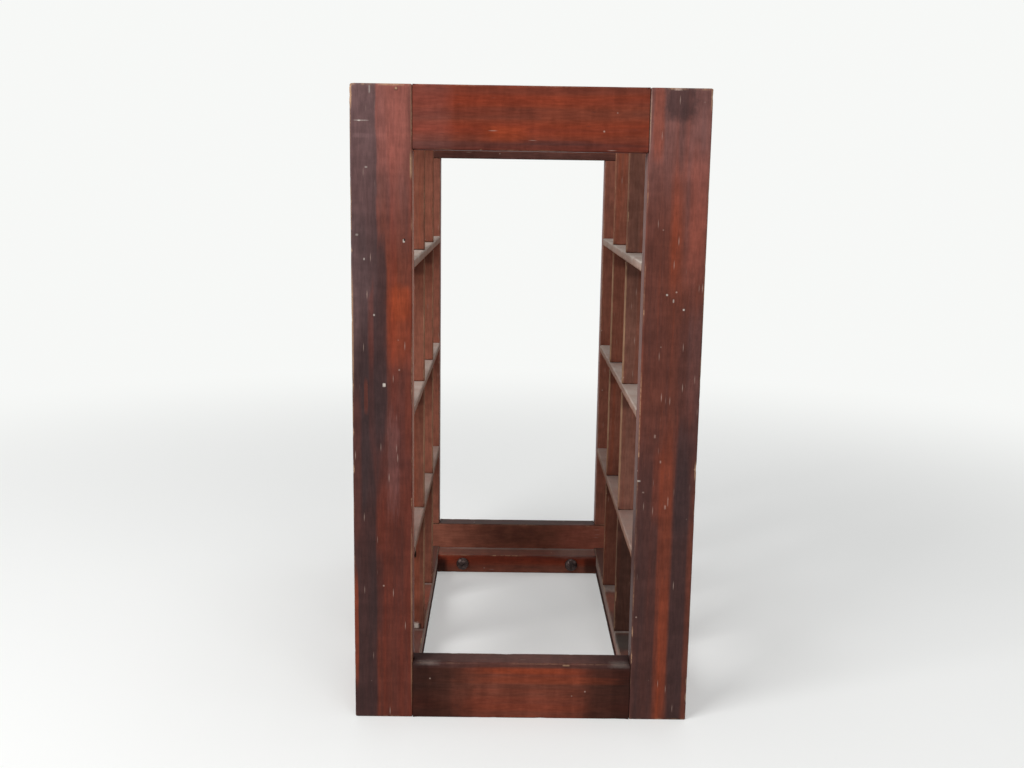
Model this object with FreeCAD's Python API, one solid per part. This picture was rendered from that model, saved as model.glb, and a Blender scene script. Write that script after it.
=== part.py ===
import FreeCAD, Part
import os

# Countertop wine rack for bottles that lie across it: two end frames carry two cross-lapped lattices.
# Millimetres, +Z up. The origin is the centre of the footprint, on the surface the rack stands on.
# X runs across the rack, the way the bottles lie. Y runs along it, from the front end to the rear end.

# Driving dimensions of the boards
OVERALL_WIDTH = 252.0
CELL_LENGTH = 105.5  # clear opening of one bottle cell along Y
CELL_HEIGHT = 102.0  # clear opening of one bottle cell along Z
CELL_COLUMNS = 3
CELL_ROWS = 4
STILE_WIDTH = 43.5  # along X; the lattice boards have the same depth and lie flush with the stiles
FRAME_THICKNESS = 18.5  # stiles and end rails, along Y
END_RAIL_HEIGHT = 44.5
SIDE_RAIL_HEIGHT = 20.0
SHELF_THICKNESS = 7.0
DIVIDER_THICKNESS = 7.0
CLEAT_DEPTH = 25.0
CLEAT_HEIGHT = 19.0
FRAME_EDGE_RADIUS = 1.2
LATTICE_EDGE_RADIUS = 1.0

# Driving dimensions of the joints
TONGUE_LENGTH = 6.0  # lattice boards into the end frames and side rails
TONGUE_SHOULDER = 6.0
SIDE_TONGUE_HEIGHT = 10.0
SCREW_SPACING = 113.0
SCREW_SHANK_DIAMETER = 4.5
SCREW_GRIP = 11.0  # how far a screw reaches into the end rail
SCREW_TIP_LENGTH = 4.0
SCREW_HEAD_DIAMETER = 13.0
SCREW_HEAD_HEIGHT = 4.5
FIT_CLEARANCE = 0.1

# Sizes that follow from the driving dimensions
LENGTH = CELL_COLUMNS * CELL_LENGTH + (CELL_COLUMNS - 1) * DIVIDER_THICKNESS + 2 * FRAME_THICKNESS
HEIGHT = CELL_ROWS * CELL_HEIGHT + (CELL_ROWS - 1) * SHELF_THICKNESS + 2 * SIDE_RAIL_HEIGHT
OUTER_X = OVERALL_WIDTH / 2
INNER_X = OUTER_X - STILE_WIDTH
LAP_X = (OUTER_X + INNER_X) / 2  # where shelves and dividers meet, half way into the lattice
OUTER_Y = LENGTH / 2
INNER_Y = OUTER_Y - FRAME_THICKNESS
HALVING_Y = (OUTER_Y + INNER_Y) / 2  # where the halves of a stile and an end rail meet in a corner
TOP_SIDE_RAIL_Z = HEIGHT - SIDE_RAIL_HEIGHT
TOP_END_RAIL_Z = HEIGHT - END_RAIL_HEIGHT
SHELF_Z = [
    SIDE_RAIL_HEIGHT + CELL_HEIGHT + row * (CELL_HEIGHT + SHELF_THICKNESS) for row in range(CELL_ROWS - 1)
]
DIVIDER_Y = [
    CELL_LENGTH - INNER_Y + column * (CELL_LENGTH + DIVIDER_THICKNESS) for column in range(CELL_COLUMNS - 1)
]

SIDES = {"left": -1, "right": 1}
ENDS = {"front": -1, "rear": 1}

Vector = FreeCAD.Vector
AXIS_X = Vector(1, 0, 0)
AXIS_Y = Vector(0, 1, 0)
AXIS_Z = Vector(0, 0, 1)


def box(corner, opposite):
    """Plain box between two opposite corners, given in any order."""
    low = Vector(min(corner.x, opposite.x), min(corner.y, opposite.y), min(corner.z, opposite.z))
    high = Vector(max(corner.x, opposite.x), max(corner.y, opposite.y), max(corner.z, opposite.z))
    size = high - low
    return Part.makeBox(size.x, size.y, size.z, low)


def board(corner, opposite, grain, radius):
    """Board with the four edges that run along its grain rounded over."""
    blank = box(corner, opposite)
    long_edges = [edge for edge in blank.Edges if abs(edge.tangentAt(edge.FirstParameter).dot(grain)) > 0.5]
    return blank.makeFillet(radius, long_edges)


def joined(body, tongue):
    """Board and the tongue that is cut on its ends, as one solid."""
    return body.fuse(tongue).removeSplitter().Solids[0]


def bored(body, cutters):
    """Board with its mortises, slots and holes cut out, as one solid."""
    return body.cut(cutters).Solids[0]


def screw_hole(x, end):
    """Clearance hole for a cleat screw, from the cleat's inner face into the end rail."""
    depth = CLEAT_DEPTH + SCREW_GRIP + FIT_CLEARANCE
    start = Vector(x, end * (INNER_Y - CLEAT_DEPTH), CLEAT_HEIGHT / 2)
    return Part.makeCylinder(SCREW_SHANK_DIAMETER / 2 + FIT_CLEARANCE, depth, start, AXIS_Y * end)


def tongue_mortise(side, end, z, height):
    """Blind mortise in an end frame's inner face for a tongue of the given height that starts at z."""
    shoulder = TONGUE_SHOULDER - FIT_CLEARANCE
    floor_y = INNER_Y + TONGUE_LENGTH + FIT_CLEARANCE
    return box(
        Vector(side * (INNER_X + shoulder), end * INNER_Y, z - FIT_CLEARANCE),
        Vector(side * (OUTER_X - shoulder), end * floor_y, z + height + FIT_CLEARANCE),
    )


def stile(side, end):
    """Full-height upright of an end frame, halved on its inner face to take the two end rails."""
    body = board(
        Vector(side * INNER_X, end * INNER_Y, 0),
        Vector(side * OUTER_X, end * OUTER_Y, HEIGHT),
        AXIS_Z,
        FRAME_EDGE_RADIUS,
    )
    lap_height = END_RAIL_HEIGHT + FIT_CLEARANCE
    cutters = [
        box(
            Vector(side * INNER_X, end * INNER_Y, low_z),
            Vector(side * OUTER_X, end * HALVING_Y, low_z + lap_height),
        )
        for low_z in (0, HEIGHT - lap_height)
    ]
    cutters += [tongue_mortise(side, end, z, SHELF_THICKNESS) for z in SHELF_Z]
    return bored(body, cutters)


def end_rail(end, z, side_rail_z, screw_places):
    """Rail of an end frame, halved on its outer face at both ends so that the stiles run past it."""
    top_z = z + END_RAIL_HEIGHT
    body = board(
        Vector(-OUTER_X, end * INNER_Y, z),
        Vector(OUTER_X, end * OUTER_Y, top_z),
        AXIS_X,
        FRAME_EDGE_RADIUS,
    )
    tongue_z = side_rail_z + (SIDE_RAIL_HEIGHT - SIDE_TONGUE_HEIGHT) / 2
    cutters = [screw_hole(x, end) for x in screw_places]
    for side in SIDES.values():
        inner_corner = Vector(side * INNER_X, end * HALVING_Y, z)
        outer_corner = Vector(side * OUTER_X, end * OUTER_Y, top_z)
        cutters.append(box(inner_corner, outer_corner))
        cutters.append(tongue_mortise(side, end, tongue_z, SIDE_TONGUE_HEIGHT))
    return bored(body, cutters)


def side_rail(side, z, mortise_face_z):
    """Top or base board of a lattice, tongued into the end frames and mortised for the dividers."""
    body = board(
        Vector(side * INNER_X, -INNER_Y, z),
        Vector(side * OUTER_X, INNER_Y, z + SIDE_RAIL_HEIGHT),
        AXIS_Y,
        FRAME_EDGE_RADIUS,
    )
    middle = z + SIDE_RAIL_HEIGHT / 2
    tongue = box(
        Vector(side * (INNER_X + TONGUE_SHOULDER), -INNER_Y - TONGUE_LENGTH, middle - SIDE_TONGUE_HEIGHT / 2),
        Vector(side * (OUTER_X - TONGUE_SHOULDER), INNER_Y + TONGUE_LENGTH, middle + SIDE_TONGUE_HEIGHT / 2),
    )
    inward = 1 if middle > mortise_face_z else -1
    floor_z = mortise_face_z + inward * (TONGUE_LENGTH + FIT_CLEARANCE)
    shoulder = TONGUE_SHOULDER - FIT_CLEARANCE
    mortises = [
        box(
            Vector(side * (INNER_X + shoulder), y - FIT_CLEARANCE, mortise_face_z),
            Vector(side * (OUTER_X - shoulder), y + DIVIDER_THICKNESS + FIT_CLEARANCE, floor_z),
        )
        for y in DIVIDER_Y
    ]
    return bored(joined(body, tongue), mortises)


def shelf(side, z):
    """Horizontal lattice board, slotted from its outer edge so that its inner edge runs unbroken."""
    top_z = z + SHELF_THICKNESS
    body = board(
        Vector(side * INNER_X, -INNER_Y, z),
        Vector(side * OUTER_X, INNER_Y, top_z),
        AXIS_Y,
        LATTICE_EDGE_RADIUS,
    )
    tongue = box(
        Vector(side * (INNER_X + TONGUE_SHOULDER), -INNER_Y - TONGUE_LENGTH, z),
        Vector(side * (OUTER_X - TONGUE_SHOULDER), INNER_Y + TONGUE_LENGTH, top_z),
    )
    slots = [
        box(
            Vector(side * LAP_X, y - FIT_CLEARANCE, z),
            Vector(side * OUTER_X, y + DIVIDER_THICKNESS + FIT_CLEARANCE, top_z),
        )
        for y in DIVIDER_Y
    ]
    return bored(joined(body, tongue), slots)


def divider(side, y):
    """Upright lattice board, slotted from its inner edge to straddle the shelves."""
    back_y = y + DIVIDER_THICKNESS
    body = board(
        Vector(side * INNER_X, y, SIDE_RAIL_HEIGHT),
        Vector(side * OUTER_X, back_y, TOP_SIDE_RAIL_Z),
        AXIS_Z,
        LATTICE_EDGE_RADIUS,
    )
    tongue = box(
        Vector(side * (INNER_X + TONGUE_SHOULDER), y, SIDE_RAIL_HEIGHT - TONGUE_LENGTH),
        Vector(side * (OUTER_X - TONGUE_SHOULDER), back_y, TOP_SIDE_RAIL_Z + TONGUE_LENGTH),
    )
    slots = [
        box(
            Vector(side * INNER_X, y, z - FIT_CLEARANCE),
            Vector(side * LAP_X, back_y, z + SHELF_THICKNESS + FIT_CLEARANCE),
        )
        for z in SHELF_Z
    ]
    return bored(joined(body, tongue), slots)


def cleat(end, screw_places):
    """Strip across the inside of a bottom rail, between the two base side rails."""
    body = board(
        Vector(-INNER_X, end * (INNER_Y - CLEAT_DEPTH), 0),
        Vector(INNER_X, end * INNER_Y, CLEAT_HEIGHT),
        AXIS_X,
        FRAME_EDGE_RADIUS,
    )
    return bored(body, [screw_hole(x, end) for x in screw_places])


def cleat_screw(x, end):
    """Round-headed screw: a half profile in X and Z, turned about the shank and laid along Y."""
    head_radius = SCREW_HEAD_DIAMETER / 2
    shank_radius = SCREW_SHANK_DIAMETER / 2
    length = CLEAT_DEPTH + SCREW_GRIP
    dome_radius = (head_radius**2 + SCREW_HEAD_HEIGHT**2) / (2 * SCREW_HEAD_HEIGHT)
    mid_x = head_radius / 2
    mid_z = SCREW_HEAD_HEIGHT - dome_radius + (dome_radius**2 - mid_x**2) ** 0.5
    crown = Vector(0, 0, SCREW_HEAD_HEIGHT)
    rim = Vector(head_radius, 0, 0)
    flank = [
        rim,
        Vector(shank_radius, 0, 0),
        Vector(shank_radius, 0, SCREW_TIP_LENGTH - length),
        Vector(0, 0, -length),
        crown,
    ]
    dome = Part.Arc(crown, Vector(mid_x, 0, mid_z), rim).toShape()
    outline = Part.Wire([dome] + Part.makePolygon(flank).Edges)
    turned = Part.Face(outline).revolve(Vector(0, 0, 0), AXIS_Z, 360).Solids[0]
    turned.rotate(Vector(0, 0, 0), AXIS_X, end * 90)
    turned.translate(Vector(x, end * (INNER_Y - CLEAT_DEPTH), CLEAT_HEIGHT / 2))
    return turned


def all_nodes():
    """Every node of the rack by name, each as a list of solids."""
    screw_places = [side * SCREW_SPACING / 2 for side in SIDES.values()]
    nodes = {"cleat_screws": []}
    for end_name, end in ENDS.items():
        nodes[f"{end_name}_bottom_rail"] = [end_rail(end, 0, 0, screw_places)]
        nodes[f"{end_name}_top_rail"] = [end_rail(end, TOP_END_RAIL_Z, TOP_SIDE_RAIL_Z, [])]
        nodes[f"{end_name}_cleat"] = [cleat(end, screw_places)]
        nodes["cleat_screws"] += [cleat_screw(x, end) for x in screw_places]
        for side_name, side in SIDES.items():
            nodes[f"{end_name}_{side_name}_stile"] = [stile(side, end)]
    for side_name, side in SIDES.items():
        nodes[f"{side_name}_base_side_rail"] = [side_rail(side, 0, SIDE_RAIL_HEIGHT)]
        nodes[f"{side_name}_top_side_rail"] = [side_rail(side, TOP_SIDE_RAIL_Z, TOP_SIDE_RAIL_Z)]
        for number, z in enumerate(SHELF_Z, start=1):
            nodes[f"{side_name}_shelf_{number}"] = [shelf(side, z)]
        for number, y in enumerate(DIVIDER_Y, start=1):
            nodes[f"{side_name}_divider_{number}"] = [divider(side, y)]
    return nodes


os.makedirs("parts", exist_ok=True)
for node_name, solids in all_nodes().items():
    shape = solids[0] if len(solids) == 1 else Part.makeCompound(solids)
    shape.exportStep(f"parts/{node_name}.step")
    print(node_name, len(shape.Solids), shape.isValid(), round(shape.Volume), shape.BoundBox)
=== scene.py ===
"""Finish of a countertop wine rack: stained boards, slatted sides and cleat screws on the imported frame."""

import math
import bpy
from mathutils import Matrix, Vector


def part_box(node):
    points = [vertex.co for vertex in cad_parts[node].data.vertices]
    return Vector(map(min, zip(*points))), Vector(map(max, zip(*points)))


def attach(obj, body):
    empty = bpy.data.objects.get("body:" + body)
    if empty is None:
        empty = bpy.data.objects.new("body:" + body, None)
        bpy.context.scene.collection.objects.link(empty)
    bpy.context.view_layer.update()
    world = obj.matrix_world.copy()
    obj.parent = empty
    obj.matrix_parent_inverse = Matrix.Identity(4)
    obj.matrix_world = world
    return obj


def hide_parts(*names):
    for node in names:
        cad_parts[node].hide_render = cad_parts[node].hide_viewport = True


bl_info = {
    "name": "Countertop Wine Rack",
    "version": (1, 0, 0),
    "blender": (4, 5, 0),
    "location": "View3D > Sidebar > Wine Rack",
    "description": "Dresses the packed wine rack in worn, stained wood and sets it on a pale studio floor",
    "category": "Object",
}

import bmesh
import bpy
import numpy as np
from bpy.props import FloatProperty, FloatVectorProperty, PointerProperty
from bpy.types import Operator, Panel, PropertyGroup
from mathutils import Matrix, Vector

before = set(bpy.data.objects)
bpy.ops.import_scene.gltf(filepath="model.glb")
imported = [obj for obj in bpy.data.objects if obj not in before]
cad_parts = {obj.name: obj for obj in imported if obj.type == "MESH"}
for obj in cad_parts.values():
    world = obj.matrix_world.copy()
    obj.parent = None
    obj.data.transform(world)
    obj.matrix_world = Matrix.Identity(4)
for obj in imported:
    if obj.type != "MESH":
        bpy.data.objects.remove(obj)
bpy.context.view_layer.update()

X, Y, Z = 0, 1, 2
MM = 0.001

FRONT_STILES = ("front_left_stile", "front_right_stile")
REAR_STILES = ("rear_left_stile", "rear_right_stile")
FRONT_RAILS = ("front_top_rail", "front_bottom_rail")
REAR_RAILS = ("rear_top_rail", "rear_bottom_rail")
SIDES = ("left", "right")
SIDE_RAILS = tuple(f"{side}_{place}_side_rail" for side in SIDES for place in ("base", "top"))
SHELVES = tuple(f"{side}_shelf_{level}" for side in SIDES for level in (1, 2, 3))
DIVIDERS = tuple(f"{side}_divider_{row}" for side in SIDES for row in (1, 2))
CLEATS = ("front_cleat", "rear_cleat")
SCREWS = "cleat_screws"

INNER_X = float(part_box("front_right_stile")[0][X])
OUTER_X = float(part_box("front_right_stile")[1][X])
INNER_Y = float(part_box("rear_right_stile")[0][Y])
END_RAIL_TOP = float(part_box("front_bottom_rail")[1][Z])
BASE_TOP = float(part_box("left_base_side_rail")[1][Z])
HEAD_LOW = float(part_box("left_top_side_rail")[0][Z])
SHELF_LOWS = tuple(float(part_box(node)[0][Z]) for node in SHELVES[:3])
SEAM = 0.15 * MM

# Axes of each kind of board: along its grain, across its outline and through its outline.
STILE_AXES = (Z, Y, X)
END_RAIL_AXES = (X, Y, Z)
SIDE_RAIL_AXES = (Y, X, Z)
SHELF_AXES = (Y, X, Z)
DIVIDER_AXES = (Z, X, Y)
CLEAT_AXES = (X, Y, Z)


def measure(name, description, default):
    """A length property with its default in millimetres."""
    return FloatProperty(name=name, description=description, default=default * MM, unit="LENGTH")


class WineRackSizes(PropertyGroup):
    """Sizes of the finish, in metres."""

    frame_ease: measure("Frame ease", "Radius that the frame boards' long edges are eased to", 1.0)
    slat_ease: measure("Slat ease", "Radius that the shelves' and dividers' long edges are eased to", 0.8)
    butt_ease: measure("Butt ease", "Radius at board ends that butt against another board", 0.25)
    lap_gap: measure("Lap gap", "Play on each side of a slat in the slot of the slat that it crosses", 0.2)
    dent_depth: measure("Dent depth", "Deepest knock along a board's edges", 0.6)
    edge_step: measure("Edge step", "Spacing of the points along a board's edges", 2.5)
    slot_width: measure("Driver slot width", "Width of the slot across each screw head", 1.6)
    slot_depth: measure("Driver slot depth", "Depth of the slot across each screw head", 1.3)


def colour(name, description, default):
    """A colour property, linear red, green and blue."""
    return FloatVectorProperty(
        name=name, description=description, default=default, subtype="COLOR", size=3, min=0.0, max=1.0
    )


class WineRackColours(PropertyGroup):
    """Colours of the finish and of the stage."""

    red_stain: colour("Red stain", "Main colour of the frame boards", (0.197, 0.032, 0.014))
    brown_stain: colour("Brown stain", "Duller colour that the red drifts into", (0.125, 0.035, 0.022))
    dark_heart: colour("Dark heartwood", "Dark bands that run up the boards", (0.042, 0.023, 0.023))
    orange_glow: colour("Orange glow", "Bright streaks where the stain is thin", (0.310, 0.052, 0.016))
    # Painted sheen: this colour stands in for the hazy reflection of the bright surroundings on the upper
    # parts of the boards.
    painted_sheen: colour("Bloom", "Milky bloom in the old lacquer", (0.300, 0.170, 0.168))
    # Painted highlight: this colour lightens patches to stand in for light, at the tops of the stiles, on
    # the left stile's inner face and on the rear rail.
    painted_light_red: colour("Faded red", "Stain that light has bleached near the top", (0.520, 0.115, 0.070))
    slat_stain: colour("Slat stain", "Main colour of the shelves and dividers", (0.230, 0.081, 0.052))
    slat_shade: colour("Slat shade", "Darker streaks in the shelves and dividers", (0.110, 0.040, 0.027))
    bare_wood: colour("Bare wood", "Wood where the finish has worn off the edges", (0.420, 0.250, 0.150))
    scuff: colour("Scuff", "Short pale scratches in the finish", (0.480, 0.340, 0.280))
    # Besides dirt in seams and small holes, this colour paints shade: low on the stiles and dividers, under
    # the shelves, on the base rails and at the cleat ends.
    grime: colour("Grime", "Dirt in the seams and small holes", (0.012, 0.007, 0.006))
    dust: colour("Dust", "Dust lying on faces that point up", (0.560, 0.500, 0.440))
    screw: colour("Screw", "Dark bronze of the cleat screws", (0.050, 0.031, 0.028))
    floor: colour("Floor", "Pale studio floor", (0.910, 0.915, 0.900))


def wander(place, pitch, seed):
    """Seeded values every `pitch` along a line, eased from each to the next by 3t^2 - 2t^3."""
    step = place / pitch
    knot = np.floor(step).astype(int)
    part = step - knot
    ease = part * part * (3.0 - 2.0 * part)
    values = np.random.default_rng(seed).random(int(knot.max()) + 2)
    return values[knot] * (1.0 - ease) + values[knot + 1] * ease


# How far the points of a board's outline and section keep from its corners, edges and caps.
CORNER_CLEAR = 3.2 * MM
CORNER_GUARD = 0.25 * MM
WALL_CLEAR = 2.0 * MM
RIM_WIDTH = 0.5 * MM
CAP_CLEAR = 0.3 * MM
QUARTER_TURN = np.radians([0.0, 30.0, 60.0, 90.0])

# Wear on the eight rings of half a section, from the wall to the cap, and which of them lie on the wall.
RING_WEAR = np.array([0.0, 0.2, 0.6, 1.0, 1.0, 0.6, 0.2, 0.0])
RING_ON_WALL = np.array([1.0, 1.0, 1.0, 1.0, 1.0, 0.0, 0.0, 0.0])

# Pitch of the knocks along an edge, how they add up, and how far they and the chips go inwards.
BROAD_KNOCKS = 37.0 * MM
SHARP_KNOCKS = 7.0 * MM
SHARP_FROM = 0.74
BROAD_SHARE = 0.22
SHARP_LEAST = 0.35
KNOCK_SLANT = 0.7
CHIP_SLANT = 0.6

CORNER_WEAR = 0.9
TOUCHING = 1e-9
BOARD_ATTRIBUTES = ("arris", "dent", "grime")
SEED_STEP = 31
FACE_SEED_STEP = 10


def notched_outline(length, width, notches, step, corner, clear):
    """Outline of a board, walked anticlockwise with points about every `step`.

    Points on a straight run keep `clear` of its corners, so that an inset up to that size never folds.
    The rectangle 0..length by 0..width loses each notch (start, end, depth) from its far long edge, and a
    notch that reaches an end takes the corner there with it.
    Where `corner` is above zero the outer corners turn on quarter circles of that radius. Otherwise each
    has a guard point just before and after it, which moves with it.
    Each point has a first inward direction, used up to `corner`, and a later one beyond it, so an inset
    shrinks a corner's arc to its centre and then moves that centre along the mitre.
    """
    far = [(length, width)]
    for start, end, depth in sorted(notches, reverse=True):
        far += [(end, width), (end, width - depth), (start, width - depth), (start, width)]
    far += [(0.0, width)]
    corners = np.array([(0.0, 0.0), (length, 0.0)] + [point for point in far if far.count(point) == 1])
    runs = np.roll(corners, -1, axis=0) - corners
    spans = np.linalg.norm(runs, axis=1)
    headings = runs / spans[:, None]
    inwards = np.stack([-headings[:, 1], headings[:, 0]], axis=1)
    quarter = QUARTER_TURN[:, None]
    parts = []
    for k in range(len(corners)):
        before, after = inwards[k - 1], inwards[k]
        diagonal = before + after
        outer = np.cross(headings[k - 1], headings[k]) > 0.0
        if corner > 0.0 and outer:
            first = np.cos(quarter) * before + np.sin(quarter) * after
            place = corners[k] + diagonal * corner - first * corner
            turning = np.ones(len(quarter))
        elif outer:
            guards = np.stack([-headings[k - 1], np.zeros(2), headings[k]])
            first = np.repeat(diagonal[None, :], len(guards), axis=0)
            place = corners[k] + guards * CORNER_GUARD
            turning = np.array([0.0, 1.0, 0.0])
        else:
            first = diagonal[None, :]
            place = corners[k][None, :]
            turning = np.zeros(1)
        later = np.repeat(diagonal[None, :], len(first), axis=0)
        parts.append((place, first, later, np.ones(len(first)), turning))
        usable = spans[k] - 2.0 * clear
        count = max(int(np.ceil(usable / step)), 1)
        share = np.arange(count + 1) / count
        distance = clear + share * usable
        place = corners[k] + headings[k] * distance[:, None]
        inward = np.repeat(after[None, :], len(share), axis=0)
        on_end = float(abs(headings[k][0]) < 0.5 and min(corners[k][0], length - corners[k][0]) < TOUCHING)
        parts.append((place, inward, inward, np.full(len(share), on_end), np.zeros(len(share))))
    return [np.concatenate(column) for column in zip(*parts)]


def split_caps(mesh):
    """Cuts the many-sided faces that close a shape into well-shaped triangles."""
    shape = bmesh.new()
    shape.from_mesh(mesh)
    caps = [face for face in shape.faces if len(face.verts) > 4]
    bmesh.ops.triangulate(shape, faces=caps, quad_method="BEAUTY", ngon_method="BEAUTY")
    shape.to_mesh(mesh)
    shape.free()


def smoothed(mesh, degrees):
    """Smooths the faces, but for edges that turn by more than an angle."""
    mesh.polygons.foreach_set("use_smooth", np.ones(len(mesh.polygons), dtype=bool))
    mesh.set_sharp_from_angle(angle=math.radians(degrees))
    mesh.update()


def linked(name, data):
    """A new object in the scene for a mesh, lamp or camera."""
    made = bpy.data.objects.new(name, data)
    bpy.context.scene.collection.objects.link(made)
    return made


def board(node, low, high, axes, ease, seed, rounded=False, notches=(), notch_low=False, chips=()):
    """A board with eased, lightly knocked edges, from its outline carried through its thickness.

    Ring k of the section sits at inset r (1 - cos a) and height h - r (1 - sin a), for a from 0 to 90
    degrees, mirrored for the lower half; r is `ease` on long edges, and on the ends and corners of a
    `rounded` board. Other ends butt against a board and have a smaller radius. Knocks push the rings
    round each edge inwards by a seeded wandering amount, and each chip (centre, radius, depth) adds
    depth (1 - (d / radius)^2)^2 at distance d from its centre.
    """
    sizes = bpy.context.scene.wine_rack_sizes
    butt = ease if rounded else sizes.butt_ease
    corner = ease if rounded else 0.0
    along, across, through = axes
    length = high[along] - low[along]
    width = high[across] - low[across]
    half = (high[through] - low[through]) / 2.0
    place, first, later, at_end, turning = notched_outline(
        length, width, notches, sizes.edge_step, corner, CORNER_CLEAR
    )
    radius = np.where(at_end > 0.5, butt, ease)
    margin = CORNER_CLEAR - max(ease, butt) - CAP_CLEAR
    inset_part = np.concatenate([[0.0, 0.0], 1.0 - np.cos(QUARTER_TURN), [1.0, 1.0]])
    drop_part = np.concatenate([[1.0, 1.0], 1.0 - np.sin(QUARTER_TURN), [0.0, 0.0]])
    extra_inset = np.array([0.0, 0.0, 0.0, 0.0, 0.0, 0.0, RIM_WIDTH, margin])
    extra_drop = np.array([WALL_CLEAR, RIM_WIDTH, 0.0, 0.0, 0.0, 0.0, 0.0, 0.0])
    inset = inset_part[:, None] * radius + extra_inset[:, None]
    height = half - drop_part[:, None] * radius - extra_drop[:, None]
    flat = place + first * np.minimum(inset, corner)[..., None]
    flat = flat + later * np.maximum(inset - corner, 0.0)[..., None]

    travel = np.cumsum(np.linalg.norm(place - np.roll(place, 1, axis=0), axis=1))
    layers = []
    for side, sign in enumerate((-1.0, 1.0)):
        broad = wander(travel, BROAD_KNOCKS, seed + FACE_SEED_STEP * side)
        sharp = wander(travel, SHARP_KNOCKS, seed + FACE_SEED_STEP * side + 1)
        sharp = np.clip((sharp - SHARP_FROM) / (1.0 - SHARP_FROM), 0.0, 1.0)
        sharp = sharp * (SHARP_LEAST + (1.0 - SHARP_LEAST) * broad)
        knock = RING_WEAR[:, None] * np.clip(BROAD_SHARE * broad + sharp, 0.0, 1.0)
        push = KNOCK_SLANT * sizes.dent_depth * knock
        layers.append((flat + later * push[..., None], sign * (height - push), knock))
    middle = (place[None], np.zeros((1, len(place))), np.zeros((1, len(place))))
    stack = [tuple(part[::-1] for part in layers[0]), middle, layers[1]]
    plan, level, dent = (np.concatenate(parts) for parts in zip(*stack))
    ring_wear = np.concatenate([RING_WEAR[::-1], [0.0], RING_WEAR])
    arris = np.maximum(ring_wear[:, None], CORNER_WEAR * turning * rounded)
    arris[[0, -1]] = 0.0
    grime = np.zeros_like(arris)
    if not rounded:
        wall = np.concatenate([RING_ON_WALL[::-1], [1.0], RING_ON_WALL])
        grime = np.maximum(arris * at_end, wall[:, None] * turning)
        arris = arris * (1.0 - at_end)

    points = np.empty(plan.shape[:2] + (3,))
    points[..., along] = low[along] + plan[..., 0]
    points[..., across] = low[across] + (width - plan[..., 1] if notch_low else plan[..., 1])
    points[..., through] = (low[through] + high[through]) / 2.0 + level
    middle_point = (np.array(low) + np.array(high)) / 2.0
    for centre, reach, depth in chips:
        gap = np.linalg.norm(points - np.array(centre), axis=2)
        bite = np.clip(1.0 - (gap / reach) ** 2, 0.0, 1.0) ** 2
        end_gap = np.minimum(points[..., along] - low[along], high[along] - points[..., along])
        inward = np.sign(middle_point - points)
        inward[..., along] *= end_gap < 2.0 * reach
        points = points + inward * (CHIP_SLANT * depth * bite)[..., None]
        dent = np.maximum(dent, bite)
        arris = np.maximum(arris, bite)

    rings, around = level.shape
    index = np.arange(rings * around).reshape(rings, around)
    ahead = np.roll(index, -1, axis=1)
    quads = np.stack([index[:-1], ahead[:-1], ahead[1:], index[1:]], axis=-1).reshape(-1, 4)
    caps = np.stack([index[-1], index[0][::-1]])
    if np.linalg.det(np.eye(3)[list(axes)]) * (-1.0 if notch_low else 1.0) < 0.0:
        quads = quads[:, ::-1]
        caps = caps[:, ::-1]
    mesh = bpy.data.meshes.new(node + "_board")
    mesh.from_pydata(points.reshape(-1, 3).tolist(), [], quads.tolist() + caps.tolist())
    split_caps(mesh)
    for label, values in zip(BOARD_ATTRIBUTES, (arris, dent, grime)):
        layer = mesh.attributes.new(label, "FLOAT", "POINT")
        layer.data.foreach_set("value", values.reshape(-1).astype(np.float32))
    smoothed(mesh, degrees=50.0)
    return linked(node + "_board", mesh)


def seeded(nodes, first):
    """Each node with a seed of its own, counted up from the first."""
    return [(node, first + SEED_STEP * number) for number, node in enumerate(nodes)]


def trimmed_box(node, axis, limit_low, limit_high):
    """A node's box, cut along one axis to what shows between its neighbours."""
    low, high = [list(corner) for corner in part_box(node)]
    low[axis] = max(low[axis], limit_low)
    high[axis] = min(high[axis], limit_high)
    return low, high


def end_laps(low, high, along, reach, depth):
    """Notches that halve both ends of a frame board, `reach` long and `depth` into its thickness."""
    length = high[along] - low[along]
    return [(0.0, reach, depth), (length - reach, length, depth)]


def crossing_slots(low, high, axis, side, crossing, gap):
    """Notches half way through a slat, with play, where the slats of the same side cross it."""
    depth = (high[X] - low[X]) / 2.0 + gap
    boxes = [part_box(node) for node in crossing if node.startswith(side)]
    return [(start[axis] - low[axis] - gap, end[axis] - low[axis] + gap, depth) for start, end in boxes]


def finish_board(piece, node, material):
    """Gives a board its material and its place on the body, and hides the part that it stands for."""
    piece.data.materials.append(material)
    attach(piece, "root")
    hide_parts(node)


def set_inputs(tree, made, inputs):
    """Links or sets each named or numbered input of a node."""
    for key, value in inputs.items():
        if isinstance(value, bpy.types.NodeSocket):
            tree.links.new(value, made.inputs[key])
        else:
            made.inputs[key].default_value = value


def put(tree, kind, inputs=None, **settings):
    """Adds a node with its settings and inputs."""
    made = tree.nodes.new(kind)
    for key, value in settings.items():
        setattr(made, key, value)
    set_inputs(tree, made, inputs or {})
    return made


def calc(tree, operation, *values):
    """Result of a Math node."""
    return put(tree, "ShaderNodeMath", dict(enumerate(values)), operation=operation).outputs[0]


def vector_calc(tree, operation, *values):
    """Result of a Vector Math node."""
    made = put(tree, "ShaderNodeVectorMath", dict(enumerate(values)), operation=operation)
    return made.outputs["Value" if operation == "LENGTH" else "Vector"]


def eased(tree, value, start, end, low=0.0, high=1.0):
    """Smooth step of a value from `low` at `start` to `high` at `end`."""
    limits = {"Value": value, "From Min": start, "From Max": end, "To Min": low, "To Max": high}
    return put(tree, "ShaderNodeMapRange", limits, interpolation_type="SMOOTHSTEP").outputs["Result"]


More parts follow.
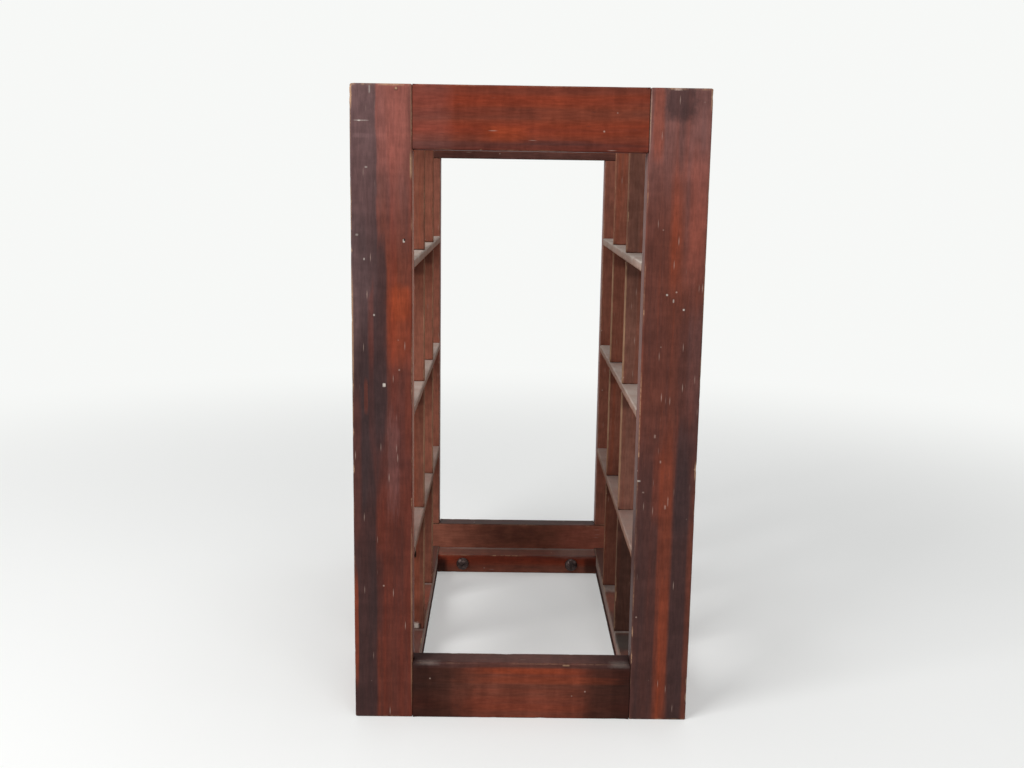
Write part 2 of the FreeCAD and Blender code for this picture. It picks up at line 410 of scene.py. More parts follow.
def blend(tree, share, base, other, mode="MIX"):
    """Mix of two colours."""
    made = put(tree, "ShaderNodeMix", {0: share, 6: base, 7: other}, data_type="RGBA", blend_type=mode)
    return made.outputs[2]


def noise(tree, place, scale, detail, roughness=0.5, output="Fac"):
    """Noise texture read at a place."""
    inputs = {"Vector": place, "Scale": scale, "Detail": detail, "Roughness": roughness}
    return put(tree, "ShaderNodeTexNoise", inputs).outputs[output]


def new_group(name, vectors, values, outputs):
    """An empty shader group with vector and number inputs and number outputs, and its inner ends."""
    tree = bpy.data.node_groups.new(name, "ShaderNodeTree")
    for label in vectors:
        tree.interface.new_socket(label, in_out="INPUT", socket_type="NodeSocketVector")
    for label in values:
        tree.interface.new_socket(label, in_out="INPUT", socket_type="NodeSocketFloat")
    for label in outputs:
        tree.interface.new_socket(label, in_out="OUTPUT", socket_type="NodeSocketFloat")
    return tree, tree.nodes.new("NodeGroupInput").outputs, tree.nodes.new("NodeGroupOutput").inputs


def grain_group():
    """Figure of the wood: noise at a place shrunk along the grain, and faint bars shrunk across it."""
    vectors = ("Position", "Stretch", "Fleck Stretch", "Bar Stretch")
    tree, given, out = new_group("Wood Grain", vectors, (), ("Fleck", "Streak", "Tone", "Mottle", "Bars"))
    drift = noise(tree, given["Position"], 9.0, 1.0, output="Color")
    drift = vector_calc(tree, "SUBTRACT", drift, (0.5, 0.5, 0.5))
    drift = vector_calc(tree, "MULTIPLY", drift, (0.0035, 0.0035, 0.0035))
    straight = vector_calc(tree, "MULTIPLY", given["Position"], given["Stretch"])
    place = vector_calc(tree, "ADD", straight, drift)
    short = vector_calc(tree, "MULTIPLY", given["Position"], given["Fleck Stretch"])
    crosswise = vector_calc(tree, "MULTIPLY", given["Position"], given["Bar Stretch"])
    tree.links.new(noise(tree, short, 700.0, 3.0, 0.6), out["Fleck"])
    tree.links.new(noise(tree, place, 190.0, 2.0, 0.45), out["Streak"])
    tree.links.new(noise(tree, place, 55.0, 2.0, 0.5), out["Tone"])
    tree.links.new(noise(tree, given["Position"], 95.0, 4.0, 0.6), out["Mottle"])
    tree.links.new(noise(tree, crosswise, 120.0, 3.0, 0.6), out["Bars"])
    return tree


def patch_group():
    """Ragged stain patch: a mask that is one inside and falls to zero over a soft edge.

    The edge lies where (x^4 + y^4 + z^4)^(1/4) of the scaled place, plus noise, reaches one.
    """
    vectors = ("Position", "Centre", "Reach")
    tree, given, out = new_group("Stain Patch", vectors, ("Ragged", "Soft"), ("Mask",))
    place = vector_calc(tree, "SUBTRACT", given["Position"], given["Centre"])
    place = vector_calc(tree, "DIVIDE", place, given["Reach"])
    rag = calc(tree, "SUBTRACT", noise(tree, place, 2.3, 4.0, 0.6), 0.5)
    squared = vector_calc(tree, "MULTIPLY", place, place)
    distance = calc(tree, "SQRT", vector_calc(tree, "LENGTH", squared))
    distance = calc(tree, "MULTIPLY_ADD", rag, given["Ragged"], distance)
    start = calc(tree, "SUBTRACT", 1.0, given["Soft"])
    end = calc(tree, "ADD", 1.0, given["Soft"])
    tree.links.new(eased(tree, distance, start, end, 1.0, 0.0), out["Mask"])
    return tree


def wear_group():
    """Bare wood on the edges: a broken thin line along each edge, and all of each knock.

    The line shows where the edge attribute is near one and noise drawn out along the grain is high.
    """
    tree, given, out = new_group("Edge Wear", ("Position", "Stretch"), ("Arris", "Dent"), ("Mask",))
    drawn_out = vector_calc(tree, "MULTIPLY", given["Position"], given["Stretch"])
    broken = eased(tree, noise(tree, drawn_out, 130.0, 3.0, 0.6), 0.42, 0.72)
    grain_noise = noise(tree, given["Position"], 420.0, 2.0, 0.6)
    line = calc(tree, "MULTIPLY", eased(tree, given["Arris"], 0.55, 1.0), broken)
    line = calc(tree, "MULTIPLY", line, eased(tree, grain_noise, 0.25, 0.60))
    knock = calc(tree, "MULTIPLY_ADD", grain_noise, 0.5, given["Dent"])
    tree.links.new(calc(tree, "MAXIMUM", line, eased(tree, knock, 0.75, 1.05)), out["Mask"])
    return tree


def dust_group():
    """Dust on faces that point up: the upward part of the normal times a cover that varies a little."""
    tree, given, out = new_group("Settled Dust", ("Position",), ("Up", "Cover"), ("Mask",))
    patchy = noise(tree, given["Position"], 38.0, 3.0, 0.5)
    grains = noise(tree, given["Position"], 1600.0, 2.0, 0.6)
    varied = calc(tree, "MULTIPLY_ADD", patchy, 1.1, calc(tree, "MULTIPLY_ADD", grains, 0.7, 0.1))
    facing = eased(tree, given["Up"], 0.6, 0.95)
    cover = calc(tree, "MINIMUM", calc(tree, "MULTIPLY", varied, given["Cover"]), 1.0)
    tree.links.new(calc(tree, "MULTIPLY", facing, cover), out["Mask"])
    return tree


def scuff_group():
    """Short scratches: drawn-out cells, some of which show a thin mark at their middle."""
    tree, given, out = new_group("Scuffs", ("Position", "Cells"), ("Share", "Width"), ("Mask",))
    place = vector_calc(tree, "MULTIPLY", given["Position"], given["Cells"])
    cells = put(tree, "ShaderNodeTexVoronoi", {"Vector": place, "Scale": 1.0})
    pick = put(tree, "ShaderNodeSeparateColor", {0: cells.outputs["Color"]}).outputs[0]
    chosen = calc(tree, "LESS_THAN", pick, given["Share"])
    mark = eased(tree, cells.outputs["Distance"], 0.0, given["Width"], 1.0, 0.0)
    tree.links.new(calc(tree, "MULTIPLY", chosen, mark), out["Mask"])
    return tree


GROUP_MAKERS = {
    "Wood Grain": grain_group,
    "Stain Patch": patch_group,
    "Edge Wear": wear_group,
    "Settled Dust": dust_group,
    "Scuffs": scuff_group,
}


def placed(tree, name, inputs):
    """Outputs of a shared effect placed in a material, its group built the first time."""
    made = tree.nodes.new("ShaderNodeGroup")
    made.node_tree = bpy.data.node_groups.get(name) or GROUP_MAKERS[name]()
    set_inputs(tree, made, inputs)
    return made.outputs


def paint(key):
    """A colour of the finish by its property's name, as four numbers."""
    return (*getattr(bpy.context.scene.wine_rack_colours, key), 1.0)


def new_material(name):
    """A new material with its tree, its Principled shader and the place on the piece."""
    material = bpy.data.materials.new(name)
    material.use_nodes = True
    tree = material.node_tree
    position = tree.nodes.new("ShaderNodeTexCoord").outputs["Object"]
    return material, tree, tree.nodes["Principled BSDF"], position


def stretch_along(axis, shrink, others=1.0):
    """Scale that draws a pattern out along one axis, or across it where `others` is the smaller."""
    return tuple(shrink if k == axis else others for k in range(3))


# Main, second and dark stain of each kind of board.
FRAME_TONES = ("red_stain", "brown_stain", "dark_heart")
BROWN_TONES = ("brown_stain", "brown_stain", "dark_heart")
REAR_TONES = ("brown_stain", "red_stain", "dark_heart")
SLAT_TONES = ("slat_stain", "slat_stain", "slat_shade")
CLEAT_TONES = ("red_stain", "slat_stain", "dark_heart")

# Colours of the kinds of patch. The kind "dark" has the board's own dark stain. Some kinds paint light
# rather than the wood's colour: sheen, highlights and shade.
STAINS = {
    "warm": "orange_glow", "painted_sheen": "painted_sheen", "painted_light": "painted_light_red", "scuff": "scuff",
    "bare": "bare_wood", "grime_and_shade": "grime", "dust": "dust", "slat": "slat_stain",
}

# Fields of short marks: cells per metre across and along the grain, share that shows, and width.
# The share of loose scratches that show is given with each wood.
PORES = (420.0, 75.0, 0.45, 0.22)
LOOSE_SCRATCHES = (330.0, 36.0)
LOOSE_WIDTH = 0.16
GATHERED_SCRATCHES = (340.0, 44.0, 0.50, 0.20)
SPECKS = (85.0, 85.0, 0.35, 0.085)
COAT_ROUGHNESS = 0.35


def stained_wood(
    name, axis, tones, patches=(), scratched=(), dusty=0.0, edge_dust=0.0, raw_edges=0.0, worn=0.75,
    scuffs=0.25, gloss=0.45, specular=0.12, side_coat=0.0, contrast=1.0, barred=0.06,
):
    """Stained and lacquered wood: grain, drifting tone, patches, scratches, worn edges and dust; some of the
    patches paint sheen, highlights and shade.

    Patches are (kind, centre, reach, strength, ragged, soft), blended in order, and scratched areas are
    patches that gather scratches. `scuffs` is the share of loose scratches that show.
    """
    found = bpy.data.materials.get(name)
    if found:
        return found
    main, second, dark = tones
    material, tree, shader, position = new_material(name)
    geometry = tree.nodes.new("ShaderNodeNewGeometry").outputs
    normal = put(tree, "ShaderNodeSeparateXYZ", {0: geometry["Normal"]}).outputs
    arris, dent, grime = (
        put(tree, "ShaderNodeAttribute", attribute_name=label).outputs["Fac"] for label in BOARD_ATTRIBUTES
    )
    stretches = {
        "Stretch": stretch_along(axis, 0.03),
        "Fleck Stretch": stretch_along(axis, 0.12),
        "Bar Stretch": stretch_along(axis, 1.0, 0.12),
    }
    grain = placed(tree, "Wood Grain", {"Position": position, **stretches})

    def patch_mask(centre, reach, strength, ragged, soft):
        values = {"Position": position, "Centre": centre, "Reach": reach, "Ragged": ragged, "Soft": soft}
        return calc(tree, "MULTIPLY", placed(tree, "Stain Patch", values)["Mask"], strength)

    def marks(across, along, share, width):
        cells = stretch_along(axis, along, across)
        values = {"Position": position, "Cells": cells, "Share": share, "Width": width}
        return placed(tree, "Scuffs", values)["Mask"]

    base = blend(tree, eased(tree, grain["Tone"], 0.36, 0.64), paint(main), paint(second))
    glow = calc(tree, "MULTIPLY", eased(tree, grain["Streak"], 0.50, 0.78), 0.32 * contrast)
    base = blend(tree, glow, base, paint("orange_glow"))
    shade = calc(tree, "MULTIPLY", eased(tree, grain["Streak"], 0.50, 0.22), 0.42 * contrast)
    base = blend(tree, shade, base, paint(dark))
    stains = {"dark": dark, **STAINS}
    for kind, *shape in patches:
        base = blend(tree, patch_mask(*shape), base, paint(stains[kind]))
    flecks = eased(tree, grain["Fleck"], 0.25, 0.75, 0.86, 1.14)
    mottle = eased(tree, grain["Mottle"], 0.30, 0.70, 0.87, 1.13)
    bars = eased(tree, grain["Bars"], 0.30, 0.70, 1.0 - barred, 1.0 + barred)
    figure = calc(tree, "MULTIPLY", calc(tree, "MULTIPLY", flecks, mottle), bars)
    base = blend(tree, 1.0, base, figure, mode="MULTIPLY")

    end_grain = eased(tree, calc(tree, "ABSOLUTE", normal[axis]), 0.80, 0.98, 0.0, 0.5)
    base = blend(tree, end_grain, base, paint(dark))
    base = blend(tree, calc(tree, "MULTIPLY", marks(*PORES), 0.35), base, paint(dark))
    scratches = calc(tree, "MULTIPLY", marks(*LOOSE_SCRATCHES, scuffs, LOOSE_WIDTH), 0.55)
    for _, *shape in scratched:
        gathered = calc(tree, "MULTIPLY", marks(*GATHERED_SCRATCHES), patch_mask(*shape))
        scratches = calc(tree, "MAXIMUM", scratches, gathered)
    base = blend(tree, scratches, base, paint("scuff"))
    base = blend(tree, calc(tree, "MULTIPLY", marks(*SPECKS), 0.8), base, paint("scuff"))
    wear_values = {"Position": position, "Stretch": stretch_along(axis, 0.2), "Arris": arris, "Dent": dent}
    wear = placed(tree, "Edge Wear", wear_values)["Mask"]
    base = blend(tree, calc(tree, "MULTIPLY", wear, worn), base, paint("bare_wood"))
    sideways = calc(tree, "ABSOLUTE", normal["X"])
    raw = calc(tree, "MULTIPLY", eased(tree, sideways, 0.80, 1.00), raw_edges)
    raw = calc(tree, "MULTIPLY", raw, eased(tree, grain["Fleck"], 0.30, 0.65, 0.4, 1.0))
    base = blend(tree, raw, base, paint("bare_wood"))
    up = calc(tree, "MULTIPLY_ADD", sideways, edge_dust, normal["Z"])
    dust = placed(tree, "Settled Dust", {"Position": position, "Up": up, "Cover": dusty})["Mask"]
    base = blend(tree, dust, base, paint("dust"))
    base = blend(tree, calc(tree, "MULTIPLY", grime, 0.85), base, paint("grime"))

    rough = calc(tree, "MULTIPLY_ADD", grain["Fleck"], 0.16, gloss - 0.08)
    rough = calc(tree, "MULTIPLY_ADD", wear, 0.25, rough)
    rough = calc(tree, "MULTIPLY_ADD", dust, 0.40, rough)
    rough = calc(tree, "MULTIPLY_ADD", sideways, 0.20, rough)
    height = calc(tree, "MULTIPLY_ADD", grain["Streak"], 0.6, grain["Fleck"])
    height = calc(tree, "MULTIPLY_ADD", scratches, -2.0, height)
    bump = put(tree, "ShaderNodeBump", {"Height": height, "Strength": 0.22, "Distance": 0.35 * MM})
    finish = {"Base Color": base, "Roughness": rough, "Normal": bump.outputs["Normal"]}
    finish["Specular IOR Level"] = specular
    if side_coat > 0.0:
        finish["Coat Weight"] = calc(tree, "MULTIPLY", sideways, side_coat)
        finish["Coat Roughness"] = COAT_ROUGHNESS
    set_inputs(tree, shader, finish)
    return material


THROUGH = 4000.0


def patch(kind, x, z, reach_x, reach_z, strength, ragged, soft, y=0.0, reach_y=THROUGH):
    """A stain patch given in millimetres, right through the board unless its place in y is given."""
    centre = (x * MM, y * MM, z * MM)
    return kind, centre, (reach_x * MM, reach_y * MM, reach_z * MM), strength, ragged, soft


def stain_patches(*rows):
    """Stain patches from rows of the values that patch() takes."""
    return tuple(patch(*row) for row in rows)


# Painted shade: a dark band on the dividers just under each shelf.
UNDER_SHELF_SHADE = tuple(
    patch("grime_and_shade", 0, low / MM - 7, THROUGH, 5.5, 0.42, 0.15, 0.5) for low in SHELF_LOWS
)
LEFT_STILE_PATCHES = stain_patches(
    # Painted highlight at the top of the stile, where more light falls.
    ("painted_light", -97, 470, 12, 60, 0.26, 0.2, 0.25),
    ("dark", -120, 420, 12.3, 100, 0.92, 0.4, 0.06),
    ("dark", -122, 270, 8, 110, 0.97, 0.3, 0.12),
    ("dark", -112, 285, 6, 80, 0.7, 0.5, 0.4),
    ("dark", -105.5, 290, 4.8, 75, 0.88, 0.4, 0.2),
    ("dark", -114, 222, 10, 50, 0.6, 0.45, 0.3),
    ("dark", -120, 90, 11, 130, 0.85, 0.3, 0.1),
    ("dark", -109, 100, 5, 32, 0.55, 0.4, 0.4),
    ("dark", -96, 60, 20, 190, 0.3, 0.3, 0.45),
    ("dark", -95, 378, 13, 26, 0.12, 0.5, 0.5),
    ("dark", -94, 232, 14, 48, 0.42, 0.6, 0.45),
    ("grime_and_shade", -100, 142, 16, 36, 0.22, 0.4, 0.5),
    # Painted shade: darkens the bottom of the stile, where less light reaches.
    ("grime_and_shade", -104, 20, 60, 150, 0.2, 0.2, 0.6),
    ("warm", -90.5, 317, 7, 12, 0.45, 0.6, 0.35),
    ("warm", -92, 300, 8.5, 26, 0.28, 0.6, 0.4),
    ("warm", -116, 249, 1.4, 12, 0.2, 0.5, 0.3),
    ("warm", -85.5, 235, 2.2, 30, 0.12, 0.5, 0.35),
    ("warm", -124, 200, 4, 55, 0.12, 0.4, 0.4),
    ("warm", -124.5, 72, 1.6, 42, 0.45, 0.4, 0.3),
    # Painted sheen: the next six patches lay the hazy reflection of the surroundings over the face.
    ("painted_sheen", -119, 470, 13, 70, 0.29, 0.3, 0.6),
    ("painted_sheen", -94, 470, 13, 85, 0.19, 0.3, 0.6),
    ("painted_sheen", -122, 345, 13, 45, 0.15, 0.3, 0.45),
    ("painted_sheen", -124.5, 320, 4, 45, 0.12, 0.4, 0.4),
    ("painted_sheen", -96.5, 200, 4, 34, 0.14, 1.6, 0.5),
    ("painted_sheen", -119, 433.6, 5, 1.5, 0.22, 0.8, 0.5),
    ("dust", -118, 443.9, 4.6, 0.32, 0.38, 0.9, 0.4),
    ("dust", -119.4, 443.8, 0.9, 0.45, 0.7, 0.6, 0.3),
    ("dust", -102.9, 257.4, 1, 1.3, 0.9, 1.6, 0.25),
    ("grime_and_shade", -93.6, 465.6, 1.3, 1.3, 0.45, 0.4, 0.4),
    ("bare", -93.6, 465.9, 0.8, 0.8, 0.8, 0.5, 0.25),
    ("dust", -88.4, 361.2, 0.7, 1.2, 0.8, 0.9, 0.25),
    ("grime_and_shade", -88, 361.9, 0.6, 0.9, 0.95, 0.4, 0.2),
    ("dust", -114.7, 412.1, 0.9, 0.6, 0.35, 0.9, 0.3),
    ("dust", -109.8, 308.2, 0.6, 0.7, 0.65, 0.9, 0.3),
    ("dust", -116.6, 348, 0.5, 0.8, 0.55, 0.9, 0.3),
    ("dust", -121.6, 365, 0.9, 0.7, 0.35, 0.9, 0.3),
    ("bare", -125.3, 296, 0.7, 36, 0.55, 1, 0.4, -184, 2.5),
    ("bare", -125.4, 462, 0.9, 8, 0.85, 0.6, 0.4, -184, 3),
    ("bare", -83.3, 414, 0.8, 8, 0.75, 0.9, 0.4, -184, 3),
    ("bare", -83.2, 80, 0.6, 55, 0.38, 1.4, 0.4, -184, 3),
    ("bare", -83.1, 449, 0.5, 18, 0.25, 1.6, 0.4, -184, 2.5),
    # Painted light: this strip lightens the stile's inner face by its front edge, where light grazes it.
    ("painted_light", -82.3, 300, 0.5, 180, 0.5, 0.6, 0.4, -173, 9),
    ("bare", -82.3, 290, 0.5, 150, 0.46, 1.4, 0.4, -176, 6),
    ("bare", -97, 468.8, 8, 1.1, 0.6, 1.6, 0.4, -184, 3),
    ("dust", -112, 465.2, 0.5, 2.5, 0.35, 1.2, 0.4),
)
LEFT_STILE_SCRATCHES = stain_patches(
    ("scuff", -96, 208, 6.5, 36, 0.55, 0.6, 0.3),
    ("scuff", -116, 425, 9, 36, 0.3, 0.6, 0.3),
)
RIGHT_STILE_PATCHES = stain_patches(
    # Painted sheen across the top of the stile.
    ("painted_sheen", 104, 470, 40, 70, 0.24, 0.3, 0.6),
    ("warm", 89, 447, 3.8, 26, 0.35, 0.5, 0.35),
    ("dark", 104, 460, 11, 13, 0.74, 0.7, 0.35),
    ("dark", 106.5, 440, 3.5, 22, 0.26, 0.7, 0.4),
    ("dark", 121, 463, 5, 8, 0.22, 0.5, 0.4),
    ("dark", 89, 335, 10, 60, 0.22, 0.4, 0.5),
    ("warm", 104, 372, 3.8, 38, 0.25, 0.6, 0.4),
    ("warm", 118.5, 385, 6, 40, 0.32, 0.5, 0.4),
    # Painted highlight and sheen on the upper middle of the stile.
    ("painted_light", 117, 378, 9, 46, 0.06, 0.4, 0.4),
    ("painted_sheen", 118, 382, 8, 46, 0.11, 0.4, 0.4),
    ("dark", 112.5, 380, 3, 24, 0.18, 0.6, 0.4),
    ("dark", 118, 262, 9, 55, 0.45, 0.6, 0.45),
    ("dark", 96, 262, 14, 50, 0.15, 0.4, 0.5),
    # Painted sheen.
    ("painted_sheen", 121, 275, 5, 40, 0.08, 0.4, 0.4),
    ("dark", 90, 90, 10.6, 130, 0.66, 0.4, 0.3),
    ("warm", 104, 100, 4.8, 125, 0.22, 0.3, 0.2),
    ("dark", 115.8, 90, 5.8, 128, 0.84, 0.3, 0.2),
    ("warm", 106, 60, 3, 50, 0.22, 0.4, 0.3),
    ("warm", 98, 185, 4, 26, 0.2, 0.4, 0.4),
    # Painted shade: darkens the bottom of the stile, where less light reaches.
    ("grime_and_shade", 104, 20, 60, 150, 0.15, 0.2, 0.6),
    ("dust", 99.2, 325.5, 0.7, 0.7, 0.75, 0.9, 0.3),
    ("dust", 111.6, 315, 0.7, 0.7, 0.75, 0.9, 0.3),
    ("dust", 104, 321.2, 0.5, 1.2, 0.55, 0.9, 0.3),
    ("scuff", 83.2, 447, 0.5, 20, 0.26, 2.4, 0.4),
    ("dark", 117, 190, 7, 42, 0.62, 0.6, 0.3),
    ("scuff", 94.4, 222, 0.6, 1.2, 0.36, 1.6, 0.5),
    ("scuff", 99.2, 202.9, 0.5, 0.9, 0.46, 1.6, 0.5),
    ("dust", 83.8, 188.2, 1.1, 0.6, 0.55, 1.2, 0.4, -184, 3),
    ("scuff", 87.3, 179.6, 0.7, 0.5, 0.34, 1.6, 0.5),
    ("scuff", 103.9, 168.5, 0.6, 1.4, 0.34, 1.6, 0.5),
    ("scuff", 105.8, 172.9, 0.3, 3, 0.34, 1.6, 0.5),
    ("bare", 125.4, 462, 0.8, 7, 0.6, 1, 0.4, -184, 3),
    ("scuff", 101.5, 468.2, 2.4, 0.9, 0.6, 1.2, 0.4),
    ("bare", 125.3, 196, 0.8, 6, 0.7, 0.9, 0.4, -184, 3),
)
RIGHT_STILE_SCRATCHES = stain_patches(
    ("scuff", 108, 250, 15, 62, 0.6, 0.6, 0.3),
    ("scuff", 96, 190, 12, 45, 0.4, 0.6, 0.3),
)
TOP_RAIL_PATCHES = stain_patches(
    ("warm", -18, 436, 14, 5, 0.4, 0.9, 0.45),
    ("warm", 40, 447, 35, 12, 0.15, 0.9, 0.5),
    ("dark", 0, 427, 90, 3.6, 0.5, 0.9, 0.45),
    ("dark", 20, 430.5, 25, 1.6, 0.4, 0.9, 0.45),
    # Painted sheen at the left end of the rail.
    ("painted_sheen", -72, 447, 15, 26, 0.1, 0.5, 0.45),
)
BOTTOM_RAIL_PATCHES = stain_patches(
    # The next two patches darken the ends of the rail.
    ("grime_and_shade", -72, 20, 30, 60, 0.85, 0.6, 0.5),
    ("grime_and_shade", 74, 20, 27, 60, 0.85, 0.6, 0.5),
    ("dark", 0, 44, 90, 3.5, 0.88, 0.6, 0.4),
    ("slat", 0, 25, 60, 30, 0.25, 0.5, 0.5),
    # Darkens the rail's face a little all over.
    ("grime_and_shade", 0, 20, 120, 60, 0.12, 0.3, 0.5),
    ("warm", 4, 38.6, 34, 2.4, 0.42, 0.9, 0.5),
    ("warm", 15, 31, 48, 2.8, 0.26, 0.9, 0.5),
    ("dust", -71, 44, 7, 1.6, 0.1, 1.4, 0.7, -183.5, 4),
    ("dust", 74, 43.6, 6, 1.8, 0.11, 1.4, 0.7, -183.5, 5),
    ("bare", 33.7, 43.2, 2.5, 0.6, 0.7, 0.6, 0.3),
)
REAR_STILE_PATCHES = stain_patches(
    ("slat", 0, 0, THROUGH, THROUGH, 0.9, 0, 0.1, 155, 12.5),
    ("dark", -121, 330, 7, 150, 0.85, 0.3, 0.15, 184, 14),
    ("dark", -97, 110, 6, 140, 0.6, 0.4, 0.3, 184, 14),
    ("warm", -108, 250, 4, 90, 0.3, 0.5, 0.4, 184, 14),
    ("dark", 118, 120, 9, 140, 0.8, 0.3, 0.2, 184, 14),
    ("dark", 92, 380, 5, 110, 0.6, 0.4, 0.3, 184, 14),
    ("warm", 104, 200, 5, 120, 0.3, 0.5, 0.4, 184, 14),
    # Painted sheen across the tops of the rear stiles.
    ("painted_sheen", 0, 470, 160, 110, 0.15, 0.3, 0.55, 184, 14),
)
REAR_RAIL_PATCHES = stain_patches(
    ("slat", 0, 0, THROUGH, THROUGH, 0.9, 0, 0.1, 155, 12.5),
    ("grime_and_shade", -4, 33, 30, 10, 0.52, 0.7, 0.6, 155, 12.5),
    ("grime_and_shade", 0, 45, 140, 1.2, 0.78, 0.3, 0.4, 174.5, 12),
    # Painted light: the next two patches lighten the right part of the rail's inner face against the shade
    # that falls there.
    ("scuff", 74, 30, 30, 16, 0.06, 0.4, 0.5, 155, 12.5),
    ("painted_light", 76, 30, 30, 16, 0.33, 0.4, 0.5, 155, 12.5),
    ("dark", 0, 424, 120, 9, 0.7, 0.3, 0.4, 160, 25),
    ("dark", 0, 445, 90, 5, 0.4, 0.9, 0.45, 184, 14),
)
BASE_RAIL_PATCHES = stain_patches(
    ("dust", -104, 20, 24, 3, 0.25, 0.9, 0.5, -62, 2.2),
    ("dust", 104, 20, 24, 3, 0.6, 0.9, 0.5, -62, 2.2),
    ("dust", -104, 20, 24, 3, 0.55, 0.9, 0.5, 50.5, 2.4),
    # Painted shade on the right base rail's top, in front of the first divider.
    ("grime_and_shade", 96, 20, 18, 3, 0.88, 0.5, 0.4, -84, 18),
    # The next two patches darken the whole top of each base rail.
    ("grime_and_shade", -104, 20, 30, 3, 0.57, 0.4, 0.4),
    ("grime_and_shade", 104, 20, 30, 3, 0.52, 0.4, 0.4),
    ("warm", -90, 20, 12, 3, 0.36, 0.6, 0.4, 16, 30),
    ("warm", 90, 20, 12, 3, 0.3, 0.8, 0.4, 6, 24),
    ("dust", 94, 20, 14, 3, 0.3, 1.2, 0.5, 45, 9),
    # Painted contact shadow along the foot of the right rail's inner face.
    ("grime_and_shade", 82.5, 2.5, 0.8, 6.5, 0.85, 0.5, 0.3),
    ("dust", 82.5, 14.5, 0.8, 5, 0.36, 0.9, 0.4),
    # Painted contact shadow along the foot of the left rail's inner face.
    ("grime_and_shade", -82.5, 2.5, 0.8, 7, 0.9, 0.5, 0.3),
    ("dust", -82.5, 15, 0.8, 4.5, 0.46, 0.9, 0.4),
)
CLEAT_PATCHES = stain_patches(
    ("dust", 10, 19, 80, 2, 0.45, 0.9, 0.5, 163, 4),
    ("dust", 62, 19, 22, 2.5, 0.18, 0.9, 0.5, 152, 12),
    ("grime_and_shade", 0, 19.6, 120, 1.2, 0.32, 0.5, 0.4),
    # Painted shade at the two ends of the cleat.
    ("grime_and_shade", -79, 7, 5.5, 8, 0.75, 0.6, 0.45),
    ("grime_and_shade", 77, 8, 6.5, 8, 0.65, 0.6, 0.45),
)
DIVIDER_PATCHES = stain_patches(
    ("grime_and_shade", -90.5, 88, 1.2, 3.4, 0.95, 0.4, 0.2, -60, 3),
    # Painted shade low on the left front divider.
    ("grime_and_shade", -95, 30, 40, 14, 0.3, 0.4, 0.5, -60, 20),
    ("grime_and_shade", -86.3, 22.6, 1.5, 2.2, 0.8, 0.9, 0.6, -60, 3),
    ("dust", 104, 235, 40, 260, 0.065, 0.2, 0.3, -60, 20),
    # Painted shade: the next six patches darken the right front divider's upper part, the lower parts of all
    # dividers, and the right front divider under the top rail.
    ("grime_and_shade", 104, 300, 40, 170, 0.22, 0.3, 0.4, -60, 20),
    ("grime_and_shade", 95, 60, 40, 60, 0.76, 0.4, 0.4, -60, 20),
    ("grime_and_shade", -95, 90, 40, 110, 0.22, 0.4, 0.4, -60, 20),
    ("grime_and_shade", 95, 70, 40, 70, 0.34, 0.4, 0.4, 56, 20),
    ("grime_and_shade", -95, 70, 40, 60, 0.28, 0.4, 0.4, 56, 20),
    ("dark", 104, 402, 40, 32, 0.14, 0.4, 0.3, -60, 20),
    ("dust", -89.7, 22.6, 2.2, 2.6, 0.75, 1.8, 0.7, -60, 3),
    ("bare", 82.5, 287, 1, 52, 0.75, 0.9, 0.4),
    ("bare", 82.5, 190, 1, 46, 0.65, 0.9, 0.4),
    ("bare", -82.5, 300, 0.9, 36, 0.4, 1.6, 0.5),
    ("bare", -82.5, 190, 0.9, 44, 0.45, 1.6, 0.5),
    ("bare", -82.5, 88, 0.9, 32, 0.45, 1.6, 0.5),
) + UNDER_SHELF_SHADE
SHELF_PATCHES = stain_patches(
    ("dust", 82.5, 343.5, 2, 6, 0.24, 0.8, 0.4),
    # Painted shade on the lowest shelves.
    ("grime_and_shade", 0, 125.5, THROUGH, 6, 0.22, 0.3, 0.3),
)
SHELF_DUST = {"1": 0.34, "2": 0.63, "3": 0.74}
FRONT_FACE = -183.75 * MM


def arris_chips(*rows):
    """Chips on the front edges, from rows of x, height, radius and depth in millimetres."""
    return tuple(((x * MM, FRONT_FACE, z * MM), reach * MM, depth * MM) for x, z, reach, depth in rows)


STILE_CHIPS = {
    "front_left_stile": arris_chips(
        (-126, 468, 3.0, 1.0), (-126, 461, 3.5, 0.6), (-126, 452.5, 2.5, 0.6),
        (-82.5, 418, 3.0, 0.5), (-82.5, 412, 3.0, 0.5), (-126, 305, 3.5, 0.4),
    ),
    "front_right_stile": arris_chips(
        (99.8, 469, 4.0, 1.3), (126, 463, 3.0, 0.5), (126, 198, 4.0, 0.6),
    ),
}
STILE_WOODS = {
    "front_left_stile": {
        "name": "front_left_stile_wood", "tones": FRAME_TONES, "patches": LEFT_STILE_PATCHES,
        "scratched": LEFT_STILE_SCRATCHES, "side_coat": 0.06,
    },
    "front_right_stile": {
        "name": "front_right_stile_wood", "tones": BROWN_TONES, "patches": RIGHT_STILE_PATCHES,
        "scratched": RIGHT_STILE_SCRATCHES, "side_coat": 0.25,
    },
}
REAR_STILE_WOOD = {
    "name": "rear_stile_wood", "tones": REAR_TONES, "patches": REAR_STILE_PATCHES, "side_coat": 0.25,
}
END_RAIL_WOODS = {
    "front_top_rail": {
        "name": "front_top_rail_wood", "patches": TOP_RAIL_PATCHES, "worn": 0.40, "barred": 0.10,
    },
    "front_bottom_rail": {
        "name": "front_bottom_rail_wood", "patches": BOTTOM_RAIL_PATCHES, "worn": 0.18, "barred": 0.10,
    },
}
REAR_RAIL_WOOD = {"name": "rear_rail_wood", "patches": REAR_RAIL_PATCHES, "worn": 0.40, "barred": 0.04}


